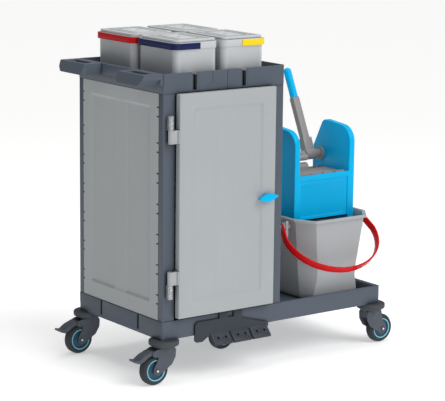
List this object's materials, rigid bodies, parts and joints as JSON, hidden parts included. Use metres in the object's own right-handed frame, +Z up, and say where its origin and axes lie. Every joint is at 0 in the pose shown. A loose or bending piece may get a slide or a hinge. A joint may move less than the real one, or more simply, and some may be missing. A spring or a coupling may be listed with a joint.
{
  "type": "housekeeping cart",
  "caption": "Housekeeping cart with a closed cabinet, a tray of lidded tubs, and a deck with a mop bucket and lever wringer, on swivel casters.",
  "frame": {"origin": "on the floor, under the middle of the whole cart's footprint", "axes": "+X from the push handles towards the bucket's end, -Y the door's side, +Z up"},
  "size_m": [1.092, 0.575, 1.1108],
  "materials": {
    "frame_plastic": "satin moulded",
    "panel_plastic": "fine matt",
    "tub_plastic": "satin",
    "cyan_plastic": "satin gloss",
    "red_plastic": "satin gloss",
    "navy_plastic": "satin gloss",
    "yellow_plastic": "satin gloss",
    "green_plastic": "satin gloss",
    "lever_plastic": "satin",
    "caster_plastic": "satin",
    "hub_plastic": "satin",
    "tyre_rubber": "matt",
    "steel": "brushed",
    "bumper_rubber": "matt"
  },
  "bodies": {
    "cart": {"base_deck": "frame_plastic", "post_front_left": "frame_plastic", "post_front_right": "frame_plastic", "post_rear_left": "frame_plastic", "post_rear_right": "frame_plastic", "top_tray": "frame_plastic", "push_handles": "frame_plastic", "pole_clips": "frame_plastic", "side_panel_left": "panel_plastic", "side_panel_right": "panel_plastic", "back_panel": "panel_plastic", "cabinet_shelf": "panel_plastic", "mop_rest": "frame_plastic", "hinge_brackets": "steel", "caster_stems": "steel", "corner_bumpers": "bumper_rubber", "frame_screws": "steel"},
    "door": {"door_panel": "panel_plastic", "door_hinge_plates": "steel"},
    "latch": {"latch_lever": "cyan_plastic"},
    "swivel_front_left": {"fork_front_left": "caster_plastic", "axle_front_left": "steel"},
    "wheel_front_left": {"hub_front_left": "hub_plastic", "tyre_front_left": "tyre_rubber"},
    "swivel_rear_left": {"fork_rear_left": "caster_plastic", "axle_rear_left": "steel"},
    "wheel_rear_left": {"hub_rear_left": "hub_plastic", "tyre_rear_left": "tyre_rubber"},
    "swivel_front_right": {"fork_front_right": "caster_plastic", "axle_front_right": "steel"},
    "wheel_front_right": {"hub_front_right": "hub_plastic", "tyre_front_right": "tyre_rubber"},
    "swivel_rear_right": {"fork_rear_right": "caster_plastic", "axle_rear_right": "steel"},
    "wheel_rear_right": {"hub_rear_right": "hub_plastic", "tyre_rear_right": "tyre_rubber"},
    "swivel_centre": {"fork_centre": "caster_plastic", "axle_centre": "steel"},
    "wheel_centre": {"hub_centre": "hub_plastic", "tyre_centre": "tyre_rubber"},
    "pedal_front": {"brake_pedal_front": "caster_plastic"},
    "pedal_rear": {"brake_pedal_rear": "caster_plastic"},
    "tub_front_left": {"tub_front_left": "tub_plastic"},
    "lid_front_left": {"lid_front_left": "tub_plastic"},
    "bail_front_left": {"tub_bail_front_left": "navy_plastic"},
    "tub_front_right": {"tub_front_right": "tub_plastic"},
    "lid_front_right": {"lid_front_right": "tub_plastic"},
    "bail_front_right": {"tub_bail_front_right": "yellow_plastic"},
    "tub_rear_left": {"tub_rear_left": "tub_plastic"},
    "lid_rear_left": {"lid_rear_left": "tub_plastic"},
    "bail_rear_left": {"tub_bail_rear_left": "red_plastic"},
    "tub_rear_right": {"tub_rear_right": "tub_plastic"},
    "lid_rear_right": {"lid_rear_right": "tub_plastic"},
    "bail_rear_right": {"tub_bail_rear_right": "green_plastic"},
    "bucket": {"bucket": "tub_plastic"},
    "bucket_bail": {"bucket_bail": "red_plastic"},
    "wringer": {"wringer_body": "cyan_plastic"},
    "lever": {"wringer_lever": "lever_plastic", "lever_grip": "cyan_plastic"},
    "press": {"press_plate": "lever_plastic"}
  },
  "joints": [
    {"name": "door_hinge", "type": "hinge", "parent": "cart", "child": "door", "pos_m": [-0.424, -0.2565, 0.583], "axis": [0, 0, -1], "range_deg": [0, 175]},
    {"name": "latch_turn", "type": "hinge", "parent": "door", "child": "latch", "pos_m": [-0.056, -0.2695, 0.583], "axis": [0, 1, 0], "range_deg": [0, 90]},
    {"name": "swivel_front_left", "type": "hinge", "parent": "cart", "child": "swivel_front_left", "pos_m": [-0.424, -0.2225, 0.107], "axis": [0, 0, 1], "continuous": true},
    {"name": "spin_front_left", "type": "hinge", "parent": "swivel_front_left", "child": "wheel_front_left", "pos_m": [-0.464, -0.2225, 0.05], "axis": [0, 1, 0], "continuous": true},
    {"name": "swivel_rear_left", "type": "hinge", "parent": "cart", "child": "swivel_rear_left", "pos_m": [-0.424, 0.2375, 0.107], "axis": [0, 0, 1], "continuous": true},
    {"name": "spin_rear_left", "type": "hinge", "parent": "swivel_rear_left", "child": "wheel_rear_left", "pos_m": [-0.464, 0.2375, 0.05], "axis": [0, 1, 0], "continuous": true},
    {"name": "swivel_front_right", "type": "hinge", "parent": "cart", "child": "swivel_front_right", "pos_m": [0.456, -0.2225, 0.107], "axis": [0, 0, 1], "continuous": true},
    {"name": "spin_front_right", "type": "hinge", "parent": "swivel_front_right", "child": "wheel_front_right", "pos_m": [0.496, -0.2225, 0.05], "axis": [0, 1, 0], "continuous": true},
    {"name": "swivel_rear_right", "type": "hinge", "parent": "cart", "child": "swivel_rear_right", "pos_m": [0.456, 0.2375, 0.107], "axis": [0, 0, 1], "continuous": true},
    {"name": "spin_rear_right", "type": "hinge", "parent": "swivel_rear_right", "child": "wheel_rear_right", "pos_m": [0.496, 0.2375, 0.05], "axis": [0, 1, 0], "continuous": true},
    {"name": "swivel_centre", "type": "hinge", "parent": "cart", "child": "swivel_centre", "pos_m": [0.016, 0.0075, 0.107], "axis": [0, 0, 1], "continuous": true},
    {"name": "spin_centre", "type": "hinge", "parent": "swivel_centre", "child": "wheel_centre", "pos_m": [-0.024, 0.0075, 0.05], "axis": [0, 1, 0], "continuous": true},
    {"name": "brake_front", "type": "hinge", "parent": "swivel_front_left", "child": "pedal_front", "pos_m": [-0.474, -0.2225, 0.106], "axis": [0, -1, 0], "range_deg": [0, 8]},
    {"name": "brake_rear", "type": "hinge", "parent": "swivel_rear_left", "child": "pedal_rear", "pos_m": [-0.474, 0.2375, 0.106], "axis": [0, -1, 0], "range_deg": [0, 8]},
    {"name": "tub_lift_front_left", "type": "slide", "parent": "cart", "child": "tub_front_left", "axis": [0, 0, 1], "range_m": [0, 0.15]},
    {"name": "lid_lift_front_left", "type": "slide", "parent": "tub_front_left", "child": "lid_front_left", "axis": [0, 0, 1], "range_m": [0, 0.04]},
    {"name": "tub_bail_front_left", "type": "hinge", "parent": "tub_front_left", "child": "bail_front_left", "pos_m": [-0.29, -0.0985, 1.0904], "axis": [0, 1, 0], "range_deg": [0, 95]},
    {"name": "tub_lift_front_right", "type": "slide", "parent": "cart", "child": "tub_front_right", "axis": [0, 0, 1], "range_m": [0, 0.15]},
    {"name": "lid_lift_front_right", "type": "slide", "parent": "tub_front_right", "child": "lid_front_right", "axis": [0, 0, 1], "range_m": [0, 0.04]},
    {"name": "tub_bail_front_right", "type": "hinge", "parent": "tub_front_right", "child": "bail_front_right", "pos_m": [-0.102, -0.0985, 1.0904], "axis": [0, -1, 0], "range_deg": [0, 95]},
    {"name": "tub_lift_rear_left", "type": "slide", "parent": "cart", "child": "tub_rear_left", "axis": [0, 0, 1], "range_m": [0, 0.15]},
    {"name": "lid_lift_rear_left", "type": "slide", "parent": "tub_rear_left", "child": "lid_rear_left", "axis": [0, 0, 1], "range_m": [0, 0.04]},
    {"name": "tub_bail_rear_left", "type": "hinge", "parent": "tub_rear_left", "child": "bail_rear_left", "pos_m": [-0.298, 0.1335, 1.0904], "axis": [0, 1, 0], "range_deg": [0, 95]},
    {"name": "tub_lift_rear_right", "type": "slide", "parent": "cart", "child": "tub_rear_right", "axis": [0, 0, 1], "range_m": [0, 0.15]},
    {"name": "lid_lift_rear_right", "type": "slide", "parent": "tub_rear_right", "child": "lid_rear_right", "axis": [0, 0, 1], "range_m": [0, 0.04]},
    {"name": "tub_bail_rear_right", "type": "hinge", "parent": "tub_rear_right", "child": "bail_rear_right", "pos_m": [-0.11, 0.1335, 1.0904], "axis": [0, -1, 0], "range_deg": [0, 95]},
    {"name": "bucket_lift", "type": "slide", "parent": "cart", "child": "bucket", "axis": [0, 0, 1], "range_m": [0, 0.12]},
    {"name": "bucket_bail", "type": "hinge", "parent": "bucket", "child": "bucket_bail", "pos_m": [0.318, -0.1125, 0.4344], "axis": [-1, 0, 0], "range_deg": [0, 120]},
    {"name": "wringer_lift", "type": "slide", "parent": "bucket", "child": "wringer", "axis": [0, 0, 1], "range_m": [0, 0.25]},
    {"name": "lever_press", "type": "hinge", "parent": "wringer", "child": "lever", "pos_m": [0.318, 0.0395, 0.6444], "axis": [1, 0, 0], "range_deg": [0, 70]},
    {"name": "press_slide", "type": "slide", "parent": "wringer", "child": "press", "axis": [0, 0, -1], "range_m": [0, 0.047]}
  ],
  "couplings": [
    {"joint": "press_slide", "follows": "lever_press", "m_per_rad": 0.03847}
  ]
}
